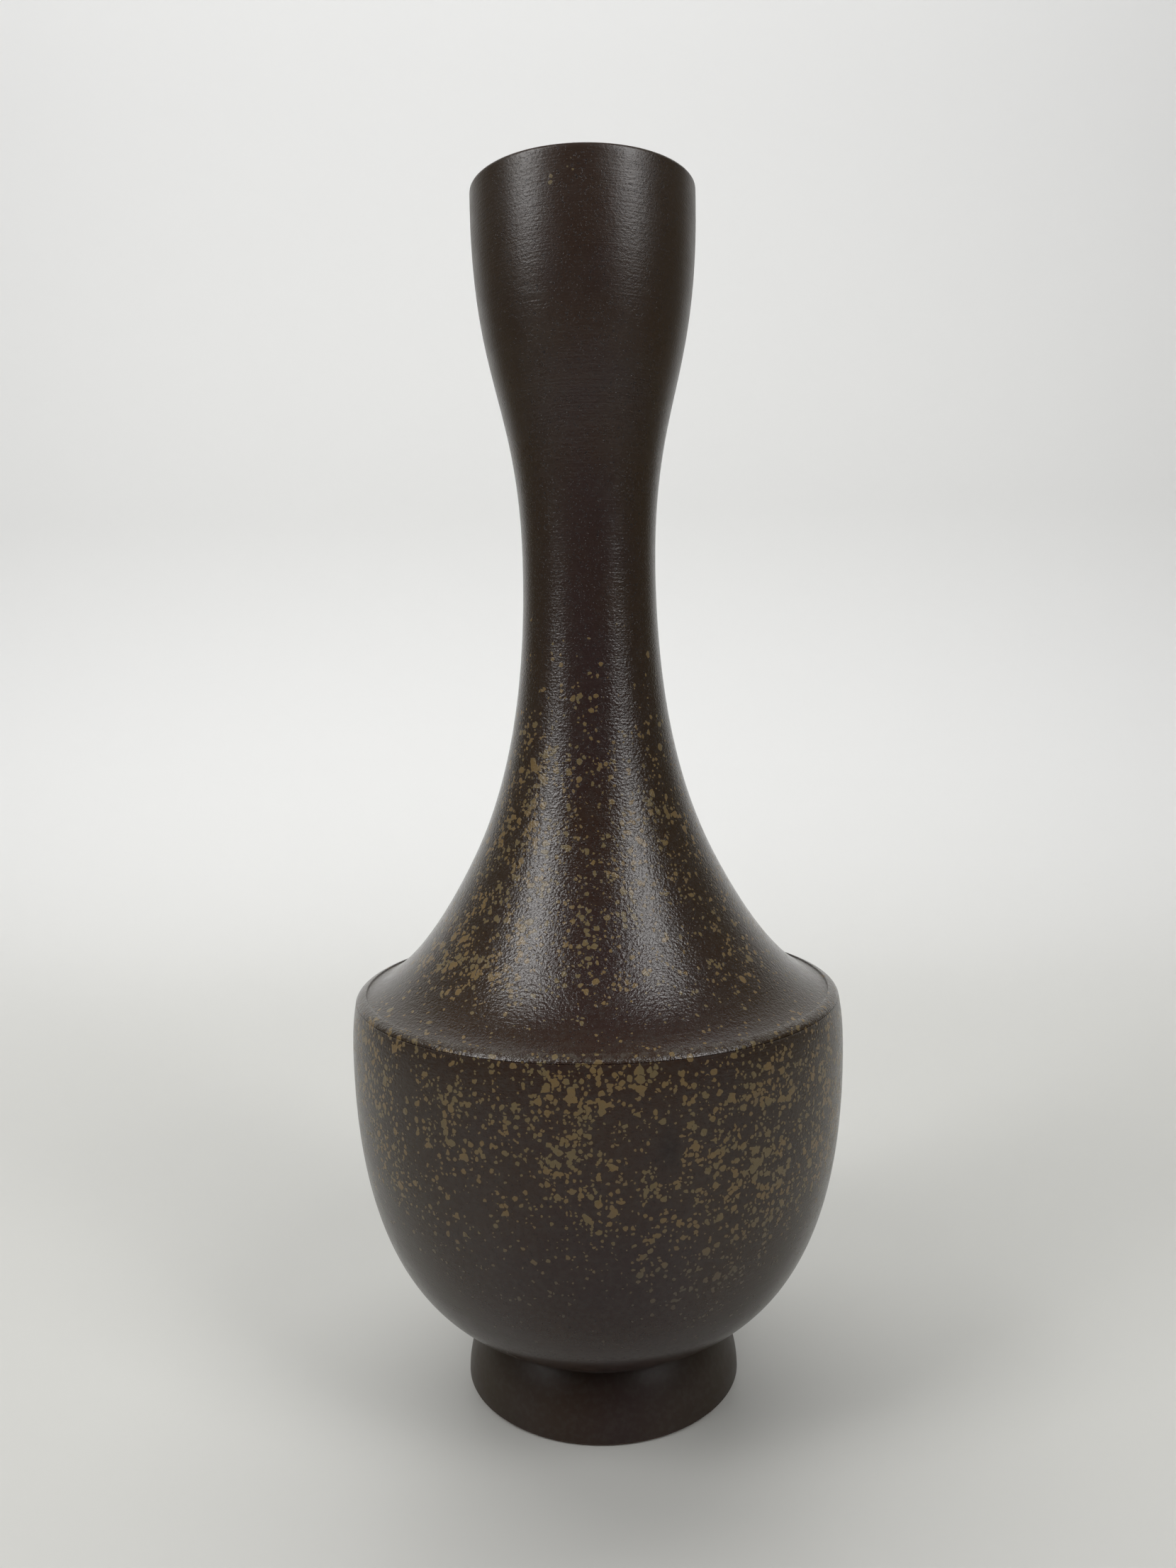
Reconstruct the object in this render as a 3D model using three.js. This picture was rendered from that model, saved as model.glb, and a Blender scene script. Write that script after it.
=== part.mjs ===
// Ceramic bud vase: a flared foot, a round bowl, a beaded shoulder, a slim neck and a tulip mouth.
// It is five hollow clay sections, turned one by one and luted together on stepped seats.
// Millimetres, +Z up, with the origin at the centre of the face that the foot rests on.
import * as THREE from 'three';

const height = 242;
const facets = 48;

// Outer silhouette, as radius and height of the places where its curve changes.
const footEdge = { radius: 28.7, bevel: 0.6, swell: 28.6 };
const crease = { radius: 24.4, z: 13.4, angle: 23.9, pull: 20.7 };
const belly = { radius: 50.5, z: 71.6, pullDown: 29.4 };
const beadLine = { radius: 49.6, z: 82.6, angle: 101.8 };
const beadEdge = { radius: 47.6, z: 83.8, angle: 161.8, pull: 10.5, softness: 0.2 };
const flare = { radius: 25.1, z: 110, angle: 117.2, pullDown: 9.2, pullUp: 13.7 };
const waist = { radius: 13.5, z: 169, pullDown: 28.9, pullUp: 33.4 };
const lip = { radius: 22.2, angle: 90.9, pull: 36.3, round: 0.8 };

// Walls, and the steps that the sections sit on.
const wall = { bowl: 4.4, shoulder: 4.2, neck: 3.6, lip: 1.6 };
const step = { width: 2, depth: 2 };
const footHollow = { radius: 20.4, mouthRadius: 22, ceiling: 8.6 };
const floorTop = { radius: 15, z: 16.4, pull: 18 };

// Fired clay: the same dark brown body all over, a little redder and smoother towards the mouth.
const clay = {
  foot: { color: 0x3a2f2b, roughness: 0.5 },
  bowl: { color: 0x40352c, roughness: 0.5 },
  shoulder: { color: 0x3c322b, roughness: 0.48 },
  neck: { color: 0x3a302c, roughness: 0.46 },
  mouth: { color: 0x382c2a, roughness: 0.42 },
};

const point = (radius, z) => new THREE.Vector2(radius, z);

// The point at a distance and a heading in degrees from another, in the profile's plane.
function reach(from, angle, distance) {
  const heading = THREE.MathUtils.degToRad(angle);
  return point(from.x + distance * Math.cos(heading), from.y + distance * Math.sin(heading));
}

// Points along a cubic curve, its start left out so that curves chain without doubled points.
function curve(start, startPull, endPull, end, steps) {
  return new THREE.CubicBezierCurve(start, startPull, endPull, end).getPoints(steps).slice(1);
}

const creaseAt = point(crease.radius, crease.z);
const bellyAt = point(belly.radius, belly.z);
const lineAt = point(beadLine.radius, beadLine.z);
const edgeAt = point(beadEdge.radius, beadEdge.z);
const flareAt = point(flare.radius, flare.z);
const waistAt = point(waist.radius, waist.z);
const lipAt = point(lip.radius, height - lip.round);

// A section is its closed outline turned about the axis. The lathe's own axis is Y, so it is stood up.
function turned(name, outline, finish) {
  const geometry = new THREE.LatheGeometry([...outline, outline[0]], facets);
  geometry.rotateX(Math.PI / 2);
  const material = new THREE.MeshStandardMaterial({ ...finish, metalness: 0 });
  const mesh = new THREE.Mesh(geometry, material);
  mesh.name = name;
  return mesh;
}

// Foot: a low flared ring with a flat resting face and an open recess under the bowl.
function footRing() {
  const seatEdge = point(footHollow.radius, crease.z);
  const restEdge = point(footEdge.radius - footEdge.bevel, 0);
  const bevelTop = point(footEdge.radius, footEdge.bevel);
  const side = new THREE.QuadraticBezierCurve(bevelTop, point(footEdge.swell, crease.z / 2), creaseAt);
  return turned('foot_ring', [
    point(footHollow.mouthRadius, 0),
    restEdge,
    ...side.getPoints(5),
    seatEdge,
    point(footHollow.radius, footHollow.ceiling),
  ], clay.foot);
}

// Bowl: its base is a disc let into the foot, and its rim is stepped to take the shoulder.
function bowlBody() {
  const shoulder = (beadLine.z - belly.z) / 3;
  const innerBelly = point(belly.radius - wall.bowl, belly.z);
  const stepOuter = point(beadLine.radius - step.width, beadLine.z);
  const stepInner = point(beadLine.radius - wall.shoulder, beadLine.z - step.depth);
  return turned('bowl_body', [
    point(0, footHollow.ceiling),
    point(footHollow.radius, footHollow.ceiling),
    point(footHollow.radius, crease.z),
    creaseAt,
    ...curve(creaseAt, reach(creaseAt, crease.angle, crease.pull),
      point(belly.radius, belly.z - belly.pullDown), bellyAt, 12),
    ...curve(bellyAt, point(belly.radius, belly.z + shoulder),
      reach(lineAt, beadLine.angle, -shoulder), lineAt, 3),
    stepOuter,
    point(stepOuter.x, stepInner.y),
    stepInner,
    ...curve(stepInner, reach(stepInner, beadLine.angle, -shoulder / 2),
      point(innerBelly.x, belly.z + shoulder / 2), innerBelly, 2),
    ...curve(innerBelly, point(innerBelly.x, belly.z - belly.pullDown),
      point(floorTop.radius + floorTop.pull, floorTop.z), point(floorTop.radius, floorTop.z), 9),
    point(0, floorTop.z),
  ], clay.bowl);
}

// Shoulder: the bead around its foot covers the bowl's rim, and the wall sweeps in to the neck.
function shoulderFlare() {
  const lowStep = point(beadLine.radius - step.width, beadLine.z - step.depth);
  const lowInner = point(beadLine.radius - wall.shoulder, beadLine.z - step.depth);
  const topStep = point(flare.radius - step.width, flare.z);
  const topInner = point(flare.radius - wall.shoulder, flare.z - step.depth);
  const beadTop = point(beadLine.radius - beadEdge.softness, beadEdge.z - beadEdge.softness);
  const bead = new THREE.QuadraticBezierCurve(lineAt, beadTop, edgeAt);
  return turned('shoulder_flare', [
    ...bead.getPoints(3),
    ...curve(edgeAt, reach(edgeAt, beadEdge.angle, beadEdge.pull),
      reach(flareAt, flare.angle, -flare.pullDown), flareAt, 7),
    topStep,
    point(topStep.x, topInner.y),
    topInner,
    ...curve(topInner, reach(topInner, flare.angle, -flare.pullDown),
      reach(lowInner, beadEdge.angle, beadEdge.pull), lowInner, 6),
    lowStep,
    point(lowStep.x, beadLine.z),
  ], clay.shoulder);
}

// Neck: a slim tube that narrows upward from the shoulder to the waist.
function neckTube() {
  const lowStep = point(flare.radius - step.width, flare.z - step.depth);
  const lowInner = point(flare.radius - wall.shoulder, flare.z - step.depth);
  const topStep = point(waist.radius - step.width, waist.z);
  const topInner = point(waist.radius - wall.neck, waist.z - step.depth);
  return turned('neck_tube', [
    flareAt,
    ...curve(flareAt, reach(flareAt, flare.angle, flare.pullUp),
      point(waist.radius, waist.z - waist.pullDown), waistAt, 8),
    topStep,
    point(topStep.x, topInner.y),
    topInner,
    ...curve(topInner, point(topInner.x, topInner.y - waist.pullDown),
      reach(lowInner, flare.angle, flare.pullUp), lowInner, 8),
    lowStep,
    point(lowStep.x, flare.z),
  ], clay.neck);
}

// Mouth: a tulip cup that opens to a thin rounded lip.
function mouthCup() {
  const lowStep = point(waist.radius - step.width, waist.z - step.depth);
  const lowInner = point(waist.radius - wall.neck, waist.z - step.depth);
  const lipInner = point(lip.radius - wall.lip, height - lip.round);
  const rounding = new THREE.EllipseCurve(lip.radius - lip.round, height - lip.round,
    lip.round, lip.round, 0, Math.PI, false);
  return turned('mouth_cup', [
    waistAt,
    ...curve(waistAt, point(waist.radius, waist.z + waist.pullUp),
      reach(lipAt, lip.angle, -lip.pull), lipAt, 11),
    ...rounding.getPoints(4).slice(1, -1),
    lipInner,
    ...curve(lipInner, reach(lipInner, lip.angle, -lip.pull),
      point(lowInner.x, waist.z + waist.pullUp), lowInner, 10),
    lowStep,
    point(lowStep.x, waist.z),
  ], clay.mouth);
}

const vase = new THREE.Group();
vase.add(footRing(), bowlBody(), shoulderFlare(), neckTube(), mouthCup());

export default vase;
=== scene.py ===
import math
from types import SimpleNamespace

import bpy
from mathutils import Matrix, Vector


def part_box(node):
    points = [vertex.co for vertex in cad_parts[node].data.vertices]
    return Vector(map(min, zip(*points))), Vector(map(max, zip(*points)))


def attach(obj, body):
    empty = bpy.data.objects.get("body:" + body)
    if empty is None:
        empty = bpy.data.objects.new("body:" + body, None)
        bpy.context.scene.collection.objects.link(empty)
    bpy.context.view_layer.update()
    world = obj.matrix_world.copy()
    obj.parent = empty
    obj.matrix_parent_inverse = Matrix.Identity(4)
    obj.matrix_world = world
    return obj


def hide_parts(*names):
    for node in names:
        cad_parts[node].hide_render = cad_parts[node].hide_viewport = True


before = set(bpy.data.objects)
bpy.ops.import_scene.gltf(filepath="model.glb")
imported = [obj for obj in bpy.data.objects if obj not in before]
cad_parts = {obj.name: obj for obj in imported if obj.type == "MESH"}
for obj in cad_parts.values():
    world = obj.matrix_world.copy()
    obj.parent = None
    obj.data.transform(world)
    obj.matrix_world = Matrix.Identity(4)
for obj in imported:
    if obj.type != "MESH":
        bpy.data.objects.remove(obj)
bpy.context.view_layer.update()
print("frame:", ", ".join(sorted(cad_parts)))

mm = 0.001


# A number or a vector that travels along a node link, so that sums can be written as sums.
class Wire:
    def __init__(self, graph, socket):
        self.graph = graph
        self.socket = socket

    def __add__(self, other):
        return self.graph.math("ADD", self, other)

    def __radd__(self, other):
        return self.graph.math("ADD", other, self)

    def __sub__(self, other):
        return self.graph.math("SUBTRACT", self, other)

    def __rsub__(self, other):
        return self.graph.math("SUBTRACT", other, self)

    def __mul__(self, other):
        return self.graph.math("MULTIPLY", self, other)

    def __rmul__(self, other):
        return self.graph.math("MULTIPLY", other, self)

    def __truediv__(self, other):
        return self.graph.math("DIVIDE", self, other)

    def __rtruediv__(self, other):
        return self.graph.math("DIVIDE", other, self)


# A node tree under construction, for materials and for Geometry Nodes alike.
class Graph:
    def __init__(self, tree):
        self.tree = tree

    # Settings are set first, then the sockets are given their values or links.
    def node(self, kind, settings=None, inputs=None, output=0):
        made = self.tree.nodes.new(kind)
        for name, value in (settings or {}).items():
            setattr(made, name, value)
        for key, value in (inputs or {}).items():
            self.feed(made.inputs[key], value)
        return Wire(self, made.outputs[output]) if made.outputs else None

    def feed(self, socket, value):
        if isinstance(value, Wire):
            self.tree.links.new(value.socket, socket)
        else:
            socket.default_value = value

    # Another output of the node that a wire comes from.
    def also(self, wire, output):
        return Wire(self, wire.socket.node.outputs[output])

    def math(self, operation, *values):
        return self.node("ShaderNodeMath", {"operation": operation}, dict(enumerate(values)))

    def vector(self, operation, *values):
        return self.node("ShaderNodeVectorMath", {"operation": operation}, dict(enumerate(values)))

    def split(self, vector):
        x = self.node("ShaderNodeSeparateXYZ", None, {0: vector}, output="X")
        return x, self.also(x, "Y"), self.also(x, "Z")

    def join(self, x, y, z):
        return self.node("ShaderNodeCombineXYZ", None, {0: x, 1: y, 2: z})

    def stretch(self, place, across, up):
        return self.vector("MULTIPLY", place, (across, across, up))

    # 0 below low, 1 above high, with a soft change between them.
    def step(self, value, low, high):
        return self.node("ShaderNodeMapRange", {"interpolation_type": "SMOOTHSTEP"},
                         {"Value": value, "From Min": low, "From Max": high})

    # 1 between two soft edges, 0 outside them.
    def band(self, value, rise, fall):
        return self.step(value, *rise) * (1 - self.step(value, *fall))

    # 1 in the middle, fading softly to 0 with the distance across and up.
    def bell(self, across, up=0.0):
        return self.math("EXPONENT", 0 - (across * across + up * up))

    def noise(self, place, scale, detail=2.0, roughness=0.5):
        return self.node("ShaderNodeTexNoise", {"noise_dimensions": "3D"},
                         {"Vector": place, "Scale": scale, "Detail": detail, "Roughness": roughness})

    # Colours are wires, or plain red, green and blue.
    def blend(self, amount, first, second):
        first, second = (c if isinstance(c, Wire) else (*c, 1.0) for c in (first, second))
        return self.node("ShaderNodeMix", {"data_type": "RGBA"},
                         {"Factor": amount, 6: first, 7: second}, output=2)

    # The place on the object, in millimetres.
    def place(self):
        metres = self.node("ShaderNodeTexCoord", output="Object")
        return self.stretch(metres, 1 / mm, 1 / mm)


# The camera stands close to the vase, a little above its middle, and looks slightly down.
cameraPlace = {
    "distance": 238.4,
    "height": 148.2,
    "pitchDown": 5.52,
    "yaw": -0.25,
    "roll": -1.07,
    "lens": 26.69,
    "sensor": 36.0,
}


def addCamera(place):
    data = bpy.data.cameras.new("studioCamera")
    data.sensor_width = place["sensor"]
    data.lens = place["lens"]
    data.clip_start = 10 * mm
    camera = bpy.data.objects.new("studioCamera", data)
    bpy.context.scene.collection.objects.link(camera)
    turn = (Matrix.Rotation(math.radians(-place["yaw"]), 4, "Z")
            @ Matrix.Rotation(math.radians(90 - place["pitchDown"]), 4, "X")
            @ Matrix.Rotation(math.radians(place["roll"]), 4, "Z"))
    spot = Matrix.Translation((0, -place["distance"] * mm, place["height"] * mm))
    camera.matrix_world = spot @ turn
    bpy.context.scene.camera = camera


addCamera(cameraPlace)
print("camera: done")


# Two tall soft boxes in front, left and right, a wide one overhead towards the back, and a low
# one for the wall. Each is placed around what it lights: azimuth from the front towards +X and
# elevation in degrees, aim, distance and size in metres. Only the front two show in the glaze.
softBoxes = {
    "leftBox": {
        "aim": (0, 0, 0.15), "azimuth": -58, "elevation": 39, "distance": 0.9,
        "size": (0.30, 0.66), "power": 4.4, "shines": True},
    "rightBox": {
        "aim": (0, 0, 0.15), "azimuth": 49, "elevation": 39, "distance": 0.9,
        "size": (0.30, 0.66), "power": 3.9, "shines": True},
    "backBox": {
        "aim": (0, 0, 0.15), "azimuth": -165, "elevation": 68, "distance": 1.1,
        "size": (1.6, 0.9), "power": 10.3, "shines": False},
    "wallBox": {
        "aim": (0, 0.59, 0.60), "azimuth": 0, "elevation": 24, "distance": 0.40,
        "size": (1.4, 0.2), "power": 1.0, "shines": False},
}


def addSoftBox(name, box):
    data = bpy.data.lights.new(name, "AREA")
    data.shape = "RECTANGLE"
    data.size = box["size"][0]
    data.size_y = box["size"][1]
    data.energy = box["power"]
    light = bpy.data.objects.new(name, data)
    bpy.context.scene.collection.objects.link(light)
    azimuth = math.radians(box["azimuth"])
    elevation = math.radians(box["elevation"])
    level = math.cos(elevation)
    away = Vector((level * math.sin(azimuth), -level * math.cos(azimuth), math.sin(elevation)))
    light.location = Vector(box["aim"]) + away * box["distance"]
    light.rotation_euler = away.to_track_quat("Z", "Y").to_euler()
    light.visible_glossy = box["shines"]


for name, box in softBoxes.items():
    addSoftBox(name, box)


# The room around the studio is dim in front of the vase and paler behind it.
room = {"tint": (0.95, 0.97, 1.0), "dim": 0.02, "pale": 0.45, "paleBehind": 0.8}


def addRoom(room):
    world = bpy.data.worlds.new("studioRoom")
    world.use_nodes = True
    world.node_tree.nodes.clear()
    graph = Graph(world.node_tree)
    direction = graph.node("ShaderNodeTexCoord", output="Generated")
    depth = graph.split(direction)[1]
    strength = graph.step(depth, 0.0, room["paleBehind"]) * (room["pale"] - room["dim"]) + room["dim"]
    sky = graph.node("ShaderNodeBackground", None, {"Color": (*room["tint"], 1.0), "Strength": strength})
    graph.node("ShaderNodeOutputWorld", None, {"Surface": sky})
    bpy.context.scene.world = world


addRoom(room)
bpy.context.scene.view_settings.view_transform = "Standard"


# Pale sweep: a level floor that curves up into a wall behind the vase. Its colour holds painted light:
# it is painted palest halfway up the curve as a pool of light, and painted darker to the sides and towards
# the top as painted shade.
sweep = {
    "front": -2500.0,
    "levelRows": (270.0, 320.0, 330.0),  # the last is where the floor ends and the curve begins
    "bend": 260.0,
    "bendSteps": 60,
    "wallTop": 1900.0,
    "halfWidth": 2500.0,
    "floorTones": ((0.565, 0.565, 0.535), (0.615, 0.612, 0.585)),
    "cloudScale": 0.003,
    # Painted light: the wall tone is a painted pool of light, and the top and side tones are painted shade.
    "wallPaintedLight": (0.92, 0.92, 0.91),
    "wallDepth": 620.0,
    "wallFade": 270.0,
    "topPaintedShade": (0.50, 0.50, 0.50),
    "topShare": 0.3,
    "topRange": (300, 620),
    "sidePaintedShade": (0.34, 0.33, 0.31),
    "sideRange": (500, 900),
    "roughness": 0.30,
    "roughnessSpread": 0.05,
    "wallRoughness": 0.55,
    "roughnessFade": 450.0,
}


def makeObject(name, points, faces):
    mesh = bpy.data.meshes.new(name)
    mesh.from_pydata([tuple(p) for p in points], [], faces)
    mesh.update()
    made = bpy.data.objects.new(name, mesh)
    bpy.context.scene.collection.objects.link(made)
    return made


def sweepMesh(sweep):
    floorEnd = sweep["levelRows"][-1]
    bend = sweep["bend"]
    line = [(y, 0.0) for y in (sweep["front"], *sweep["levelRows"][:-1])]
    for i in range(sweep["bendSteps"] + 1):
        turn = math.pi / 2 * i / sweep["bendSteps"]
        line.append((floorEnd + bend * math.sin(turn), bend * (1 - math.cos(turn))))
    line.append((floorEnd + bend, sweep["wallTop"]))
    points = [(side * sweep["halfWidth"] * mm, y * mm, z * mm) for y, z in line for side in (-1, 1)]
    faces = [(2 * i, 2 * i + 1, 2 * i + 3, 2 * i + 2) for i in range(len(line) - 1)]
    floor = makeObject("studioSweep", points, faces)
    floor.data.shade_smooth()
    return floor


def sweepPaint(sweep):
    material = bpy.data.materials.new("paleSweep")
    material.use_nodes = True
    graph = Graph(material.node_tree)
    surface = material.node_tree.nodes["Principled BSDF"]
    place = graph.place()
    across, depth, height = graph.split(place)
    cloud = graph.noise(place, sweep["cloudScale"], detail=1.0)
    toWall = sweep["wallDepth"] - depth
    tone = graph.blend(cloud, *sweep["floorTones"])
    # Painted light: the pale band near the wall is a painted pool of light.
    tone = graph.blend(graph.bell(toWall / sweep["wallFade"]), tone, sweep["wallPaintedLight"])
    # Painted shade: darker towards the top.
    tone = graph.blend(graph.step(height, *sweep["topRange"]) * sweep["topShare"], tone, sweep["topPaintedShade"])
    # Painted shade: darker to the sides.
    aside = graph.math("ABSOLUTE", across)
    tone = graph.blend(graph.step(aside, *sweep["sideRange"]), tone, sweep["sidePaintedShade"])
    graph.feed(surface.inputs["Base Color"], tone)
    matt = graph.bell(toWall / sweep["roughnessFade"]) * sweep["wallRoughness"]
    roughness = sweep["roughness"] + sweep["roughnessSpread"] * cloud + matt
    graph.feed(surface.inputs["Roughness"], roughness)
    return material


floor = sweepMesh(sweep)
floor.data.materials.append(sweepPaint(sweep))
print("studio: done")


# Outlines of the clay sections follow, in millimetres as (radius, height) and degrees from +X.
# What the frame already holds is read from it.
fine = 0.5
coarse = 1.6
tiny = 0.2


def topOf(node):
    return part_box(node)[1][2] / mm


def radiusOf(node):
    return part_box(node)[1][0] / mm


def at(radius, height):
    return Vector((radius, height))


def reach(start, angle, distance):
    turn = math.radians(angle)
    return start + distance * Vector((math.cos(turn), math.sin(turn)))


# Points from one place to the next, no further apart than the spacing. The first is left out.
def straight(start, end, spacing):
    steps = max(1, math.ceil((end - start).length / spacing))
    return [start.lerp(end, i / steps) for i in range(1, steps + 1)]


def path(places, spacing):
    return [p for start, end in zip(places, places[1:]) for p in straight(start, end, spacing)]


def bezier(start, startPull, endPull, end, spacing):
    length = (startPull - start).length + (endPull - startPull).length + (end - endPull).length
    steps = max(2, math.ceil(length / spacing))
    line = []
    for i in range(1, steps + 1):
        t = i / steps
        s = 1 - t
        line.append(start * s ** 3 + startPull * (3 * s * s * t) + endPull * (3 * s * t * t) + end * t ** 3)
    return line


# Where the sections meet. Each is let into the next by a step as deep as the seat.
seams = {
    "creaseRadius": 24.4,
    "filletRadius": 25.0,
    "filletAngle": 64.0,
    "recessRadius": 20.4,
    "lineAngle": 101.8,
    "flareAngle": 117.2,
    "waistRadius": 13.5,
    "seat": 2.0,
    "shoulderWall": 4.2,
    "neckWall": 3.6,
}


def innerEdge(edge, wall):
    return at(edge.x - wall, edge.y - seams["seat"])


def stepDown(edge, inner):
    seat = seams["seat"]
    return path([edge, at(edge.x - seat, edge.y), at(edge.x - seat, edge.y - seat), inner], coarse)


# Ends just before the edge, where the outline began.
def stepUp(inner, edge):
    seat = seams["seat"]
    return path([inner, at(edge.x - seat, edge.y - seat), at(edge.x - seat, edge.y), edge], coarse)[:-1]


crease = at(seams["creaseRadius"], topOf("foot_ring"))
fillet = at(seams["filletRadius"], crease.y)
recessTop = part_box("bowl_body")[0][2] / mm
cutLine = at(radiusOf("shoulder_flare"), topOf("bowl_body"))
flare = at(radiusOf("neck_tube"), topOf("shoulder_flare"))
waist = at(seams["waistRadius"], topOf("neck_tube"))
cutInner = innerEdge(cutLine, seams["shoulderWall"])
flareInner = innerEdge(flare, seams["shoulderWall"])
waistInner = innerEdge(waist, seams["neckWall"])

# What each finish says: how speckled, rusty, dull and glossy the glaze is, and how strongly the
# turning lines and the fired grain show.
foot = {
    "bevel": 0.6,
    "bevelSpacing": 0.3,
    "swell": 28.6,
    "topSpread": 0.4,
    "topDrop": 0.9,
    "filletPulls": (0.06, 0.4),
    "recessMouth": 22.0,
    "finish": {"speckled": False, "rust": 0.0, "dull": 0.24, "gloss": 0.30, "lines": 0.6, "grain": 0.15},
}


def footOutline():
    base = radiusOf("foot_ring")
    bevelTop = at(base, foot["bevel"])
    swell = at(foot["swell"], crease.y / 2)
    start = at(foot["recessMouth"], 0)
    top = at(crease.x + foot["topSpread"], crease.y - foot["topDrop"])
    topPull, filletPull = foot["filletPulls"]
    recess = seams["recessRadius"]
    line = [start]
    line += straight(start, at(base - foot["bevel"], 0), coarse)
    line += straight(line[-1], bevelTop, foot["bevelSpacing"])
    line += bezier(bevelTop, bevelTop.lerp(swell, 2 / 3), top.lerp(swell, 2 / 3), top, fine)
    line += bezier(top, top.lerp(swell, -topPull),
                   reach(fillet, seams["filletAngle"], -filletPull), fillet, tiny)
    line += path([fillet, at(recess, crease.y), at(recess, recessTop), start], coarse)[:-1]
    return line


bowl = {
    "filletReach": 2.2,
    "filletPulls": (0.5, 0.7),
    "creaseAngle": 23.9,
    "creasePull": 20.7,
    "bellyHeight": 71.6,
    "bellyPull": 29.4,
    "wall": 4.4,
    "floorRadius": 15.0,
    "floorHeight": 16.4,
    "floorPull": 18.0,
    "finish": {"speckled": True, "rust": 0.1, "dull": 0.07, "gloss": 0.30, "lines": 1.0, "grain": 0.8},
}


def bowlOutline():
    belly = at(radiusOf("bowl_body"), bowl["bellyHeight"])
    innerBelly = at(belly.x - bowl["wall"], belly.y)
    bellyPull = at(0, bowl["bellyPull"])
    rise = (cutLine.y - belly.y) / 3
    under = reach(crease, bowl["creaseAngle"], bowl["filletReach"])
    filletPull, underPull = bowl["filletPulls"]
    floorEdge = at(bowl["floorRadius"], bowl["floorHeight"])
    recess = seams["recessRadius"]
    start = at(0, recessTop)
    line = [start]
    line += path([start, at(recess, recessTop), at(recess, crease.y), fillet], coarse)
    line += bezier(fillet, reach(fillet, seams["filletAngle"], filletPull),
                   reach(under, bowl["creaseAngle"], -underPull), under, tiny)
    line += bezier(under, reach(crease, bowl["creaseAngle"], bowl["creasePull"]),
                   belly - bellyPull, belly, fine)
    line += bezier(belly, belly + at(0, rise), reach(cutLine, seams["lineAngle"], -rise), cutLine, fine)
    line += stepDown(cutLine, cutInner)
    line += bezier(cutInner, reach(cutInner, seams["lineAngle"], -rise / 2),
                   innerBelly + at(0, rise / 2), innerBelly, coarse)
    line += bezier(innerBelly, innerBelly - bellyPull,
                   floorEdge + at(bowl["floorPull"], 0), floorEdge, coarse)
    line += straight(floorEdge, at(0, bowl["floorHeight"]), coarse)
    return line


# A groove runs along the cut line, with a raised and rounded bead above it. The groove's floor and
# the bead's foot are given from the cut line, the rest of the bead from its upper edge.
shoulder = {
    "grooveFloor": (-0.22, 0.108),
    "beadFoot": (-0.12, 0.24),
    "beadRadius": 47.6,
    "beadHeight": 1.2,
    "beadTop": (0.15, 0.22),
    "beadCrown": (0.28, 0.30),
    "crownShare": 0.4,
    "beadSpacing": 0.15,
    "beadBack": (-0.07, 0.24),
    "beadEnd": (-0.20, 0.02),
    "beadAngle": 161.8,
    "beadPull": 10.5,
    "flarePull": 9.2,
    "finish": {"speckled": True, "rust": 0.2, "dull": 0.0, "gloss": 0.55, "lines": 1.5, "grain": 1.0},
}


def shoulderOutline():
    edge = at(shoulder["beadRadius"], cutLine.y + shoulder["beadHeight"])
    beadFoot = cutLine + at(*shoulder["beadFoot"])
    beadTop = edge + at(*shoulder["beadTop"])
    beadEnd = edge + at(*shoulder["beadEnd"])
    crown = beadFoot.lerp(beadTop, shoulder["crownShare"]) + at(*shoulder["beadCrown"])
    beadAngle = shoulder["beadAngle"]
    beadPull = shoulder["beadPull"]
    flarePull = shoulder["flarePull"]
    line = [cutLine]
    line += path([cutLine, cutLine + at(*shoulder["grooveFloor"]), beadFoot], tiny)
    line += bezier(beadFoot, beadFoot.lerp(crown, 2 / 3), beadTop.lerp(crown, 2 / 3), beadTop,
                   shoulder["beadSpacing"])
    line += path([beadTop, edge + at(*shoulder["beadBack"]), beadEnd], tiny)
    line += bezier(beadEnd, reach(edge, beadAngle, beadPull),
                   reach(flare, seams["flareAngle"], -flarePull), flare, fine)
    line += stepDown(flare, flareInner)
    line += bezier(flareInner, reach(flareInner, seams["flareAngle"], -flarePull),
                   reach(cutInner, beadAngle, beadPull), cutInner, coarse)
    line += stepUp(cutInner, cutLine)
    return line


neck = {
    "flarePull": 13.7,
    "waistPull": 28.9,
    "finish": {"speckled": True, "rust": 0.2, "dull": 0.0, "gloss": 0.55, "lines": 1.5, "grain": 1.0},
}


def neckOutline():
    flarePull = neck["flarePull"]
    waistPull = at(0, neck["waistPull"])
    line = [flare]
    line += bezier(flare, reach(flare, seams["flareAngle"], flarePull), waist - waistPull, waist, fine)
    line += stepDown(waist, waistInner)
    line += bezier(waistInner, waistInner - waistPull,
                   reach(flareInner, seams["flareAngle"], flarePull), flareInner, coarse)
    line += stepUp(flareInner, flare)
    return line


mouth = {
    "waistPull": 33.4,
    "lipAngle": 90.9,
    "lipPull": 36.3,
    "lipRound": 0.8,
    "lipSteps": 9,
    "innerSpacing": 1.0,
    "finish": {"speckled": True, "rust": 0.2, "dull": 0.0, "gloss": 0.55, "lines": 1.4, "grain": 1.0},
}


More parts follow.
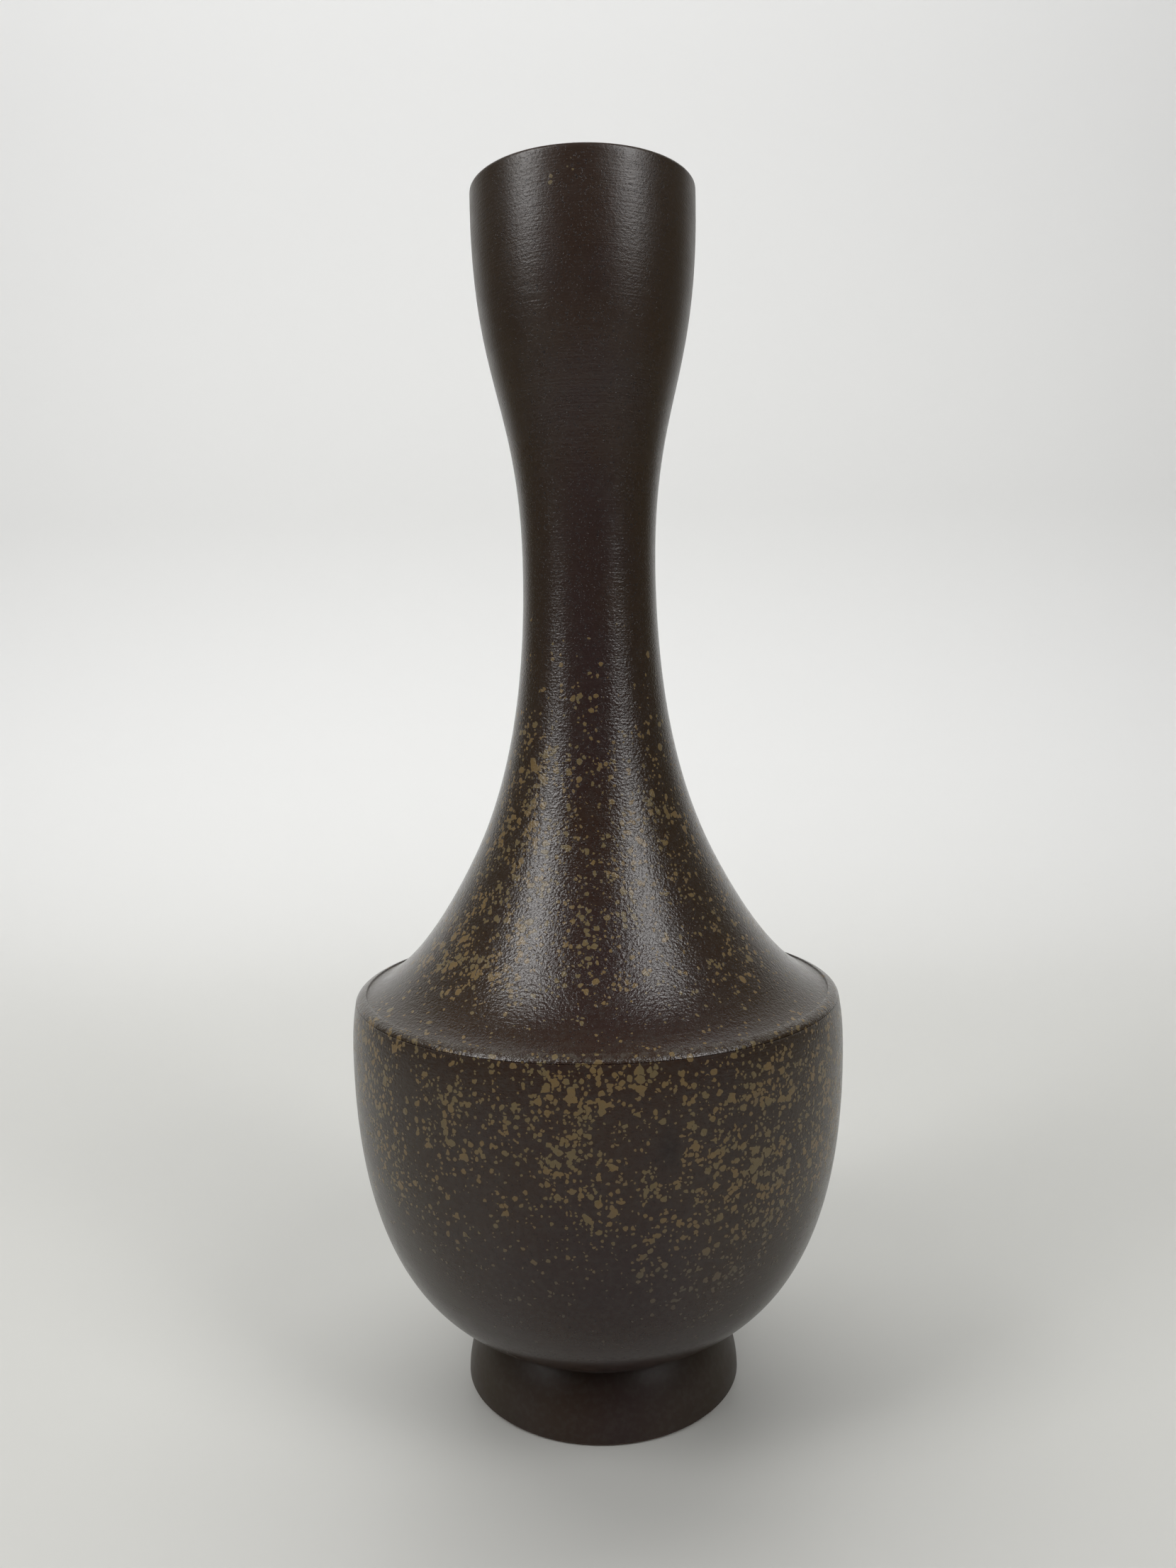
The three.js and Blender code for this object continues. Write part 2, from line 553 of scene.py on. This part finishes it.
def mouthOutline():
    lipRound = mouth["lipRound"]
    lip = at(radiusOf("mouth_cup"), topOf("mouth_cup") - lipRound)
    lipInner = at(lip.x - 2 * lipRound, lip.y)
    waistPull = mouth["waistPull"]
    line = [waist]
    line += bezier(waist, waist + at(0, waistPull),
                   reach(lip, mouth["lipAngle"], -mouth["lipPull"]), lip, fine)
    for i in range(1, mouth["lipSteps"]):
        turn = math.pi * i / mouth["lipSteps"]
        line.append(lip + at(lipRound * (math.cos(turn) - 1), lipRound * math.sin(turn)))
    line.append(lipInner)
    line += bezier(lipInner, reach(lipInner, mouth["lipAngle"], -mouth["lipPull"]),
                   waistInner + at(0, waistPull + seams["seat"]), waistInner, mouth["innerSpacing"])
    line += stepUp(waistInner, waist)
    return line


# The wheel: turns an outline about the axis, and lets the turning lines and a slight
# unevenness of the hand show in the wall. The walls only ever move inwards.
wheel = {
    "facets": 240,
    "lineDepth": 0.05,
    "lineFineness": 0.55,
    "lineStretch": 0.03,
    "handDepth": 0.12,
    "handFineness": 0.02,
    "weld": 0.002,
    "sharpAngle": 35.0,
}


def addInput(tree, name, kind, value):
    socket = tree.interface.new_socket(name=name, in_out="INPUT", socket_type=kind)
    if value is not None:
        socket.default_value = value
    return socket.identifier


def wheelTree(wheel):
    tree = bpy.data.node_groups.new("pottersWheel", "GeometryNodeTree")
    graph = Graph(tree)
    tree.interface.new_socket(name="Geometry", in_out="INPUT", socket_type="NodeSocketGeometry")
    wanted = {
        "Points": ("NodeSocketInt", 4),
        "Closed": ("NodeSocketInt", 1),
        "Facets": ("NodeSocketInt", wheel["facets"]),
        "Line Depth": ("NodeSocketFloat", wheel["lineDepth"]),
        "Line Fineness": ("NodeSocketFloat", wheel["lineFineness"]),
        "Hand Depth": ("NodeSocketFloat", wheel["handDepth"]),
        "Hand Fineness": ("NodeSocketFloat", wheel["handFineness"]),
        "Clay": ("NodeSocketMaterial", None),
    }
    names = {name: addInput(tree, name, *kind) for name, kind in wanted.items()}
    tree.interface.new_socket(name="Geometry", in_out="OUTPUT", socket_type="NodeSocketGeometry")
    given = tree.nodes.new("NodeGroupInput")
    source = {socket.name: Wire(graph, socket) for socket in given.outputs}

    # A grid with one column for each outline point and one row for each facet, wrapped into a tube.
    columns = source["Points"] + source["Closed"]
    rows = source["Facets"] + 1
    grid = graph.node("GeometryNodeMeshGrid", None, {"Vertices X": columns, "Vertices Y": rows})
    index = graph.node("GeometryNodeInputIndex")
    column = graph.math("FLOOR", (index + 0.5) / rows)
    row = index - column * rows
    along = graph.math("MODULO", column + 0.5, source["Points"])
    outline = graph.node("GeometryNodeSampleIndex", {"data_type": "FLOAT_VECTOR"},
                         {"Geometry": source["Geometry"],
                          "Value": graph.node("GeometryNodeInputPosition"),
                          "Index": graph.math("FLOOR", along)})
    radius, _, height = graph.split(outline)
    turn = graph.math("MODULO", row, source["Facets"]) * (2 * math.pi) / source["Facets"]
    level = graph.join(graph.math("COSINE", turn), graph.math("SINE", turn), 0.0)
    wall = graph.vector("ADD", graph.vector("MULTIPLY", level, graph.join(radius, radius, radius)),
                        graph.join(0.0, 0.0, height))

    # Turning lines run almost level; the hand's unevenness is much broader.
    place = graph.stretch(wall, 1 / mm, 1 / mm)
    lines = graph.noise(graph.stretch(place, wheel["lineStretch"], 1.0), source["Line Fineness"], detail=3.0)
    broad = graph.noise(place, source["Hand Fineness"], detail=1.0)
    cut = (lines * source["Line Depth"] + broad * source["Hand Depth"]) * mm
    inward = graph.math("MINIMUM", radius, cut)
    shifted = graph.vector("SUBTRACT", wall,
                           graph.vector("MULTIPLY", level, graph.join(inward, inward, inward)))
    turned = graph.node("GeometryNodeSetPosition", None, {"Geometry": grid, "Position": shifted})
    outward = graph.node("GeometryNodeFlipFaces", None, {"Mesh": turned})
    welded = graph.node("GeometryNodeMergeByDistance", None,
                        {"Geometry": outward, "Distance": wheel["weld"] * mm})

    corner = graph.node("GeometryNodeInputMeshEdgeAngle")
    isSharp = graph.node("FunctionNodeCompare", {"operation": "GREATER_THAN"},
                         {0: corner, 1: math.radians(wheel["sharpAngle"])})
    smooth = graph.node("GeometryNodeSetShadeSmooth", {"domain": "FACE"}, {"Geometry": welded})
    creased = graph.node("GeometryNodeSetShadeSmooth", {"domain": "EDGE"},
                         {"Geometry": smooth, "Selection": isSharp, "Shade Smooth": False})
    real = graph.node("GeometryNodeRealizeInstances", None, {"Geometry": creased})
    finished = graph.node("GeometryNodeSetMaterial", None, {"Geometry": real, "Material": source["Clay"]})
    graph.feed(tree.nodes.new("NodeGroupOutput").inputs[0], finished)
    return tree, names


def turnSection(name, outline, material, tree, names):
    onAxis = outline[0].x < 1e-6
    drawn = makeObject(name + "Outline", [(p.x * mm, 0, p.y * mm) for p in outline], [])
    modifier = drawn.modifiers.new("wheel", "NODES")
    modifier.node_group = tree
    given = {
        "Points": len(outline),
        "Closed": 0 if onAxis else 1,
        "Facets": wheel["facets"],
        "Line Depth": wheel["lineDepth"],
        "Line Fineness": wheel["lineFineness"],
        "Hand Depth": wheel["handDepth"],
        "Hand Fineness": wheel["handFineness"],
        "Clay": material,
    }
    for label, value in given.items():
        modifier[names[label]] = value
    scene = bpy.context.evaluated_depsgraph_get()
    mesh = bpy.data.meshes.new_from_object(drawn.evaluated_get(scene), depsgraph=scene)
    mesh.name = name
    bpy.data.objects.remove(drawn)
    made = bpy.data.objects.new(name, mesh)
    bpy.context.scene.collection.objects.link(made)
    return made


# In cubic centimetres. It is positive when the faces point outwards.
def clayVolume(mesh):
    mesh.calc_loop_triangles()
    total = 0.0
    for triangle in mesh.loop_triangles:
        a, b, c = (mesh.vertices[i].co / (10 * mm) for i in triangle.vertices)
        total += a.dot(b.cross(c)) / 6
    return total


# Speckles gather in clouds on the front, the left of the shoulder and the right of the bowl.
# Each cloud: azimuth in degrees from the front towards +X, height, half width, half height, strength.
speckleClouds = [
    (-56, 77, 10, 8, 0.62),
    (-32, 73, 7, 8, 0.52),
    (-50, 62, 14, 10, 0.15),
    (-3, 79, 12, 4.5, 0.70),
    (-7, 67, 7, 6, 0.45),
    (4, 59, 10, 6, 0.25),
    (25, 77, 13, 5, 0.38),
    (30, 61, 13, 10, 0.72),
    (60, 69, 13, 17, 0.60),
    (26, 44, 14, 8, 0.36),
    (-52, 92, 20, 7, 0.42),
    (-30, 97, 12, 7, 0.25),
    (-42, 118, 20, 14, 0.38),
    (-34, 134, 22, 13, 0.22),
    (4, 114, 16, 18, 0.18),
    (44, 120, 20, 16, 0.17),
    (-7, 237.5, 12, 2.2, 0.13),
    (150, 96, 50, 22, 0.35),
    (-140, 70, 45, 18, 0.35),
    (100, 60, 30, 14, 0.30),
]
smudge = {"azimuth": 13.5, "height": 67.5, "halfWidth": 2.3, "halfHeight": 3.6}

# Between the clouds lies a thin scatter, and fine dust reaches a little further down and up. The
# shoulder just inside the bead is nearly clear. Ranges are heights, rising and then falling.
scatter = {
    "share": 0.22,
    "range": ((36, 58), (112, 165)),
    "dustRange": ((16, 32), (130, 165)),
    "clearShare": 0.80,
    "clearRange": ((82.5, 84.5), (87, 94)),
    "most": 0.8,
    "driftScale": 0.06,
    "clumpScale": 0.26,
    "waverScale": 0.9,
    "waver": 0.9,
    "jitter": 0.8,
    "edge": (0.20, 0.34),
}
dropSizes = [
    {"spacing": 2.30, "radius": 0.86, "share": 0.85, "dust": 0.0, "shift": 0.0},
    {"spacing": 1.80, "radius": 0.70, "share": 1.00, "dust": 0.0, "shift": 7.0},
    {"spacing": 1.40, "radius": 0.56, "share": 1.00, "dust": 0.0, "shift": 11.0},
    {"spacing": 1.10, "radius": 0.43, "share": 1.00, "dust": 0.03, "shift": 23.0},
    {"spacing": 0.85, "radius": 0.31, "share": 0.90, "dust": 0.10, "shift": 37.0},
]


# A spot on the glaze: its place in millimetres, its azimuth in degrees from the front towards +X,
# its radius and its height z, and how far it lies in the dark smudge on the bowl.
def glazeSpot(graph):
    place = graph.place()
    x, y, z = graph.split(place)
    azimuth = graph.math("ARCTAN2", x, 0 - y) * (180 / math.pi)
    radius = graph.math("SQRT", x * x + y * y)
    dark = graph.bell((azimuth - smudge["azimuth"]) / smudge["halfWidth"],
                      (z - smudge["height"]) / smudge["halfHeight"])
    return SimpleNamespace(place=place, azimuth=azimuth, radius=radius, z=z, dark=dark)


# How thickly the speckles lie.
def speckleThickness(graph, spot):
    thick = graph.band(spot.z, *scatter["range"]) * scatter["share"]
    for middle, height, halfWidth, halfHeight, strength in speckleClouds:
        around = graph.math("WRAP", spot.azimuth - middle, 180, -180) / halfWidth
        thick = thick + graph.bell(around, (spot.z - height) / halfHeight) * strength
    thick = thick * (1 - graph.band(spot.z, *scatter["clearRange"]) * scatter["clearShare"])
    drift = graph.noise(spot.place, scatter["driftScale"])
    clump = graph.noise(spot.place, scatter["clumpScale"], roughness=0.55)
    thick = thick * (0.7 + 0.5 * graph.step(drift, 0.35, 0.65))
    thick = thick * (0.45 + 0.95 * graph.step(clump, 0.40, 0.60))
    return graph.math("MINIMUM", thick, scatter["most"]) - spot.dark * scatter["most"]


# Round drops of several sizes, which run together where they lie thick. Each size has one drop in
# each cell of its own pattern, and the thickness says how many of them are there.
def speckleDrops(graph, spot):
    thick = speckleThickness(graph, spot)
    dust = graph.band(spot.z, *scatter["dustRange"]) - spot.dark
    waver = graph.also(graph.noise(spot.place, scatter["waverScale"], detail=1.5), "Color")
    shaken = graph.vector("ADD", spot.place, graph.stretch(waver, scatter["waver"], scatter["waver"]))
    heap = 0.0
    for drops in dropSizes:
        moved = graph.vector("ADD", shaken, (drops["shift"], drops["shift"] * 2, drops["shift"] * 3))
        apart = graph.node("ShaderNodeTexVoronoi", None,
                           {"Vector": moved, "Scale": 1 / drops["spacing"], "Randomness": scatter["jitter"]},
                           output="Distance")
        pick, grow, _ = graph.split(graph.also(apart, "Color"))
        fits = graph.step(thick * drops["share"] + dust * drops["dust"] - pick, 0.0, 0.02)
        size = drops["radius"] * (0.65 + 0.5 * grow) * (0.9 + 0.25 * thick)
        fromMiddle = apart * drops["spacing"] / size
        heap = heap + graph.math("MAXIMUM", 1 - fromMiddle * fromMiddle, 0.0) * fits
    return graph.step(heap, *scatter["edge"])


clay = {
    "brown": (0.034, 0.0185, 0.0120),
    "plum": (0.031, 0.0175, 0.0160),
    "rust": (0.042, 0.022, 0.010),
    # umber: a painted reflection on the flanks, lighter and warmer than the body.
    "paintedFlankReflection": (0.036, 0.026, 0.013),
    "paintedReflectionWidth": 42,
    "olive": (0.145, 0.108, 0.052),
    "ochre": (0.170, 0.112, 0.046),
    # ash: the pale ash tone of the drops, and also a painted highlight over the bead.
    "ashAndBeadHighlight": (0.100, 0.088, 0.070),
    "haze": (0.052, 0.043, 0.036),
    "bare": (0.130, 0.072, 0.045),
    "pit": (0.012, 0.008, 0.008),
    "roughness": 0.16,
    "grainDepth": 0.118,
    "lineDepth": 0.028,
    "pitDepth": 0.02,
    "dropHeight": 0.03,
    "beadRange": ((82.9, 83.3), (84.0, 84.3)),
    "beadInside": (47.2, 47.6),
}


# The body wanders between brown and plum, and its flanks are painted a lighter umber as a painted
# reflection. It has rusty patches, small pits and a pale haze that thins out up the neck, and it is painted
# paler over the bead as a painted highlight.
def bodyColour(graph, spot, pitted, bead, rust):
    wander = graph.noise(spot.place, 0.035, detail=4.0, roughness=0.6)
    body = graph.blend(graph.step(wander, 0.35, 0.65), clay["brown"], clay["plum"])
    # Painted reflection: the flanks, away from the front the camera sees, are painted a lighter, warmer
    # umber.
    paintedReflection = 1 - graph.bell(spot.azimuth / clay["paintedReflectionWidth"])
    body = graph.blend(paintedReflection * 0.75, body, clay["paintedFlankReflection"])
    patch = graph.noise(graph.stretch(spot.place, 0.05, 0.12), 1.0, detail=3.0)
    body = graph.blend(graph.step(patch, 0.5, 0.8) * rust, body, clay["rust"])
    body = graph.blend(pitted * 0.75, body, clay["pit"])
    body = graph.blend(spot.dark * 0.6, body, clay["pit"])
    mottle = graph.noise(spot.place, 0.9)
    hazy = graph.step(mottle, 0.40, 0.70) * (0.30 - 0.22 * graph.step(spot.z, 112, 175))
    body = graph.blend(hazy, body, clay["haze"])
    # Painted highlight: the bead is painted paler, unevenly, to stand for the glints on its crest.
    return graph.blend(bead * (0.05 + 0.3 * graph.step(mottle, 0.4, 0.6)), body, clay["ashAndBeadHighlight"])


# Olive to ochre, and ashen low on the bowl.
def dropColour(graph, spot):
    tint = graph.noise(spot.place, 0.21)
    colour = graph.blend(graph.step(tint, 0.4, 0.6), clay["olive"], clay["ochre"])
    colour = graph.blend(graph.step(tint, 0.55, 0.75) * 0.3, colour, clay["ashAndBeadHighlight"])
    return graph.blend((1 - graph.step(spot.z, 34, 56)) * 0.7, colour, clay["ashAndBeadHighlight"])


# Bare clay shows where the foot was wiped clean and in the recess under it.
def bareClay(graph, spot):
    underside = (1 - graph.step(spot.z, 0.15, 0.7)) * graph.step(spot.radius, 19, 22)
    recess = (1 - graph.step(spot.radius, 21.9, 22.1)) * (1 - graph.step(spot.z, 8.7, 9.3))
    return graph.math("MAXIMUM", underside, recess)


# In millimetres: fired grain, turning lines, pits, and drops that stand a little proud. The foot
# and the low bowl are smoother, and so is the neck.
def glazeRelief(graph, spot, speckle, pitted, bead, finish):
    grain = graph.noise(graph.stretch(spot.place, 1.8, 2.4), 1.0, roughness=0.6)
    grainShare = finish["grain"] * (0.12 + 0.88 * graph.step(spot.z, 25, 80)) + bead * 0.9
    grainShare = grainShare * (1 - 0.55 * graph.step(spot.z, 135, 175))
    lines = graph.noise(graph.stretch(spot.place, 0.14, 2.8), 1.0)
    lineShare = (0.2 + 0.8 * graph.step(spot.z, 25, 60)) * finish["lines"]
    relief = grain * grainShare * clay["grainDepth"] + lines * lineShare * clay["lineDepth"]
    return relief + speckle * clay["dropHeight"] - pitted * clay["pitDepth"]


def stoneware(name, finish):
    material = bpy.data.materials.new(name)
    material.use_nodes = True
    graph = Graph(material.node_tree)
    surface = material.node_tree.nodes["Principled BSDF"]
    spot = glazeSpot(graph)
    speckle = speckleDrops(graph, spot) if finish["speckled"] else 0.0
    pitted = graph.step(graph.noise(spot.place, 2.6, detail=1.0), 0.62, 0.69) * finish["grain"]
    bead = graph.band(spot.z, *clay["beadRange"]) * graph.step(spot.radius, *clay["beadInside"])
    bare = bareClay(graph, spot)

    body = bodyColour(graph, spot, pitted, bead, finish["rust"])
    covered = speckle * (0.55 + 0.4 * graph.step(spot.z, 28, 60))
    colour = graph.blend(covered, body, dropColour(graph, spot))
    graph.feed(surface.inputs["Base Color"], graph.blend(bare, colour, clay["bare"]))

    # The neck and the mouth are duller than the shoulder.
    dull = finish["dull"] + graph.step(spot.z, 118, 205) * 0.12 + graph.step(spot.z, 190, 236) * 0.07
    sheen = (graph.noise(spot.place, 0.3, detail=3.0) - 0.5) * 0.14
    roughness = clay["roughness"] + dull + sheen + speckle * 0.06 - bead * 0.04 + bare * 0.35
    graph.feed(surface.inputs["Roughness"], roughness)
    surface.inputs["Specular IOR Level"].default_value = finish["gloss"]

    relief = glazeRelief(graph, spot, speckle, pitted, bead, finish)
    bump = graph.node("ShaderNodeBump", None, {"Strength": 1.0, "Distance": mm, "Height": relief})
    graph.feed(surface.inputs["Normal"], bump)
    return material


sections = {
    "foot_ring": (foot, footOutline),
    "bowl_body": (bowl, bowlOutline),
    "shoulder_flare": (shoulder, shoulderOutline),
    "neck_tube": (neck, neckOutline),
    "mouth_cup": (mouth, mouthOutline),
}
tree, names = wheelTree(wheel)
print("wheel: done")

for node, (piece, outline) in sections.items():
    material = stoneware(node + "Glaze", piece["finish"])
    section = turnSection(node + "Clay", outline(), material, tree, names)
    print(section.name, "faces", len(section.data.polygons), "volume", round(clayVolume(section.data), 2))
    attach(section, "root")
    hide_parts(node)
